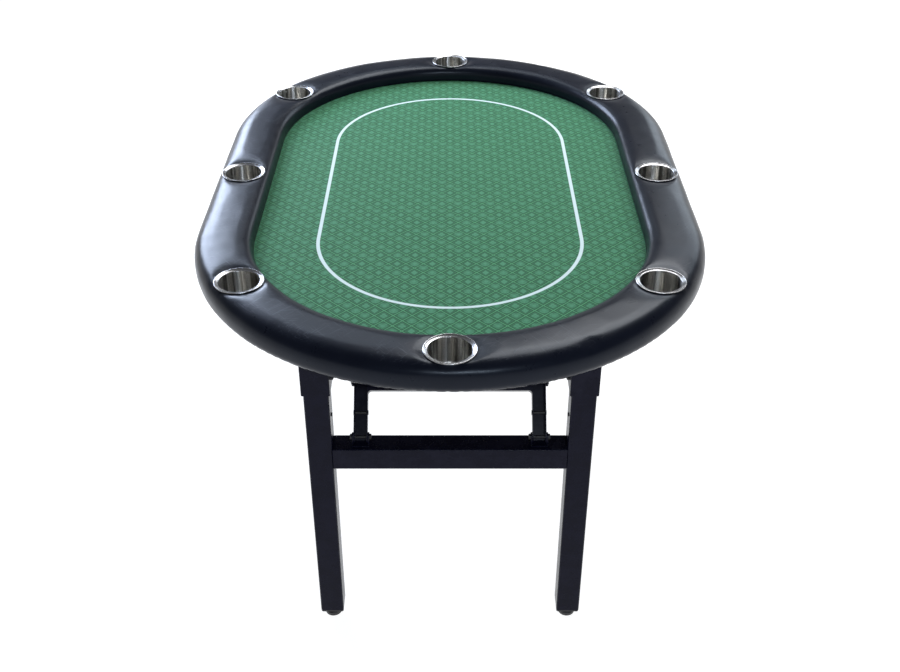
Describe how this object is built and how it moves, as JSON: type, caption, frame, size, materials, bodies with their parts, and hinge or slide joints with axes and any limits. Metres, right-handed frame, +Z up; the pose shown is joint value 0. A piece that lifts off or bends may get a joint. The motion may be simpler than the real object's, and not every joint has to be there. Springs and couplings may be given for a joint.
{
  "type": "poker table",
  "caption": "Oval folding card table: green cloth playfield in a padded rail with drop-in cup holders, on two fold-under leg frames with knee braces and levelling feet.",
  "frame": {"origin": "on the floor under the centre of the table, feet screwed in", "axes": "+Z up, Y along the table's length with the near leg frame at -Y, X across it"},
  "size_m": [1.104, 1.6236, 0.7644],
  "materials": {
    "plywood": "sanded plywood",
    "foam": "closed-cell foam",
    "speed_cloth": "green suited speed cloth with a white betting line",
    "black_vinyl": "soft black vinyl, satin",
    "stainless": "brushed stainless",
    "powder_coat": "satin blue-black powder coat",
    "black_screws": "black oxide",
    "zinc_screws": "zinc plate",
    "black_plastic": "moulded black plastic"
  },
  "bodies": {
    "top": {"deck": "plywood", "playfield_pad": "foam", "speed_cloth": "speed_cloth", "rail_core": "plywood", "rail_foam": "foam", "rail_cover": "black_vinyl", "rail_screws": "zinc_screws", "cup_holder_1": "stainless", "cup_holder_2": "stainless", "cup_holder_3": "stainless", "cup_holder_4": "stainless", "cup_holder_5": "stainless", "cup_holder_6": "stainless", "cup_holder_7": "stainless", "cup_holder_8": "stainless", "near_left_leg_bracket": "powder_coat", "near_right_leg_bracket": "powder_coat", "far_left_leg_bracket": "powder_coat", "far_right_leg_bracket": "powder_coat", "leg_pivot_bolts": "black_screws", "leg_pivot_nuts": "black_screws", "leg_bracket_screws": "black_screws", "brace_top_brackets": "powder_coat", "brace_top_pins": "zinc_screws", "brace_top_screws": "black_screws"},
    "near_legs": {"near_left_post": "powder_coat", "near_right_post": "powder_coat", "near_crossbar": "powder_coat", "near_pivot_sleeves": "zinc_screws", "near_end_plugs": "black_plastic", "near_crossbar_brackets": "powder_coat", "near_post_screws": "black_screws", "near_brace_pins": "black_screws"},
    "near_brace_arms": {"near_left_brace_arm": "powder_coat", "near_right_brace_arm": "powder_coat", "near_brace_cross_tube": "powder_coat", "near_arm_rivets": "black_screws"},
    "near_brace_links": {"near_left_upper_link": "powder_coat", "near_right_upper_link": "powder_coat", "near_knee_rivets": "zinc_screws"},
    "near_left_foot": {"near_left_foot": "black_plastic"},
    "near_right_foot": {"near_right_foot": "black_plastic"},
    "far_legs": {"far_left_post": "powder_coat", "far_right_post": "powder_coat", "far_crossbar": "powder_coat", "far_pivot_sleeves": "zinc_screws", "far_end_plugs": "black_plastic", "far_crossbar_brackets": "powder_coat", "far_post_screws": "black_screws", "far_brace_pins": "black_screws"},
    "far_brace_arms": {"far_left_brace_arm": "powder_coat", "far_right_brace_arm": "powder_coat", "far_brace_cross_tube": "powder_coat", "far_arm_rivets": "black_screws"},
    "far_brace_links": {"far_left_upper_link": "powder_coat", "far_right_upper_link": "powder_coat", "far_knee_rivets": "zinc_screws"},
    "far_left_foot": {"far_left_foot": "black_plastic"},
    "far_right_foot": {"far_right_foot": "black_plastic"}
  },
  "joints": [
    {"name": "near_leg_fold", "type": "hinge", "parent": "top", "child": "near_legs", "pos_m": [0, -0.667, 0.642], "axis": [1, 0, 0], "range_deg": [0, 90]},
    {"name": "near_arm_fold", "type": "hinge", "parent": "near_legs", "child": "near_brace_arms", "pos_m": [0, -0.667, 0.494], "axis": [1, 0, 0], "range_deg": [-0.5, 38.58]},
    {"name": "near_link_fold", "type": "hinge", "parent": "top", "child": "near_brace_links", "pos_m": [0, -0.492, 0.682], "axis": [1, 0, 0], "range_deg": [-35.32, 0.5]},
    {"name": "near_left_foot_thread", "type": "slide", "parent": "near_legs", "child": "near_left_foot", "axis": [0, 0, -1], "range_m": [0, 0.01]},
    {"name": "near_right_foot_thread", "type": "slide", "parent": "near_legs", "child": "near_right_foot", "axis": [0, 0, -1], "range_m": [0, 0.01]},
    {"name": "far_leg_fold", "type": "hinge", "parent": "top", "child": "far_legs", "pos_m": [0, 0.667, 0.642], "axis": [-1, 0, 0], "range_deg": [0, 90]},
    {"name": "far_arm_fold", "type": "hinge", "parent": "far_legs", "child": "far_brace_arms", "pos_m": [0, 0.667, 0.494], "axis": [-1, 0, 0], "range_deg": [-0.5, 38.58]},
    {"name": "far_link_fold", "type": "hinge", "parent": "top", "child": "far_brace_links", "pos_m": [0, 0.492, 0.682], "axis": [-1, 0, 0], "range_deg": [-35.32, 0.5]},
    {"name": "far_left_foot_thread", "type": "slide", "parent": "far_legs", "child": "far_left_foot", "axis": [0, 0, -1], "range_m": [0, 0.01]},
    {"name": "far_right_foot_thread", "type": "slide", "parent": "far_legs", "child": "far_right_foot", "axis": [0, 0, -1], "range_m": [0, 0.01]}
  ],
  "couplings": [
    {"joint": "near_arm_fold", "follows": "near_leg_fold", "ratio": 0.42312},
    {"joint": "near_link_fold", "follows": "near_leg_fold", "ratio": -0.38689},
    {"joint": "far_arm_fold", "follows": "far_leg_fold", "ratio": 0.42312},
    {"joint": "far_link_fold", "follows": "far_leg_fold", "ratio": -0.38689}
  ]
}
